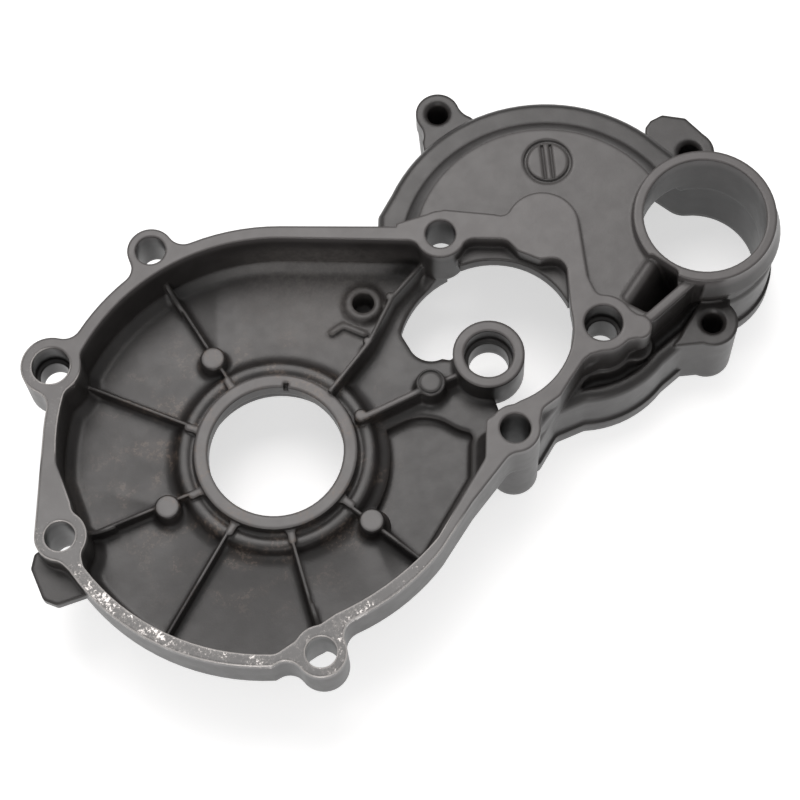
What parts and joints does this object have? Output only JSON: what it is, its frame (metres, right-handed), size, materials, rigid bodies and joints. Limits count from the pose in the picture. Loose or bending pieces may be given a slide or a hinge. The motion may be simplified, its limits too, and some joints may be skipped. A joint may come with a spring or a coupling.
{
  "type": "die cast gear housing cover",
  "caption": "Two-lobed cast cover: a ribbed round cup with a flanged bearing bore, joined to a deeper domed chamber with a starter bore, a gear opening and bolt bosses.",
  "frame": {"origin": "on the main bore's axis, in the machined face of its ring", "axes": "+Z out of the open side, towards the joint face; +X from the main bore to the starter bore"},
  "size_m": [0.192, 0.1173, 0.0315],
  "materials": {
    "painted_casting": "satin"
  },
  "bodies": {
    "root": {"housing": "painted_casting"}
  },
  "joints": []
}
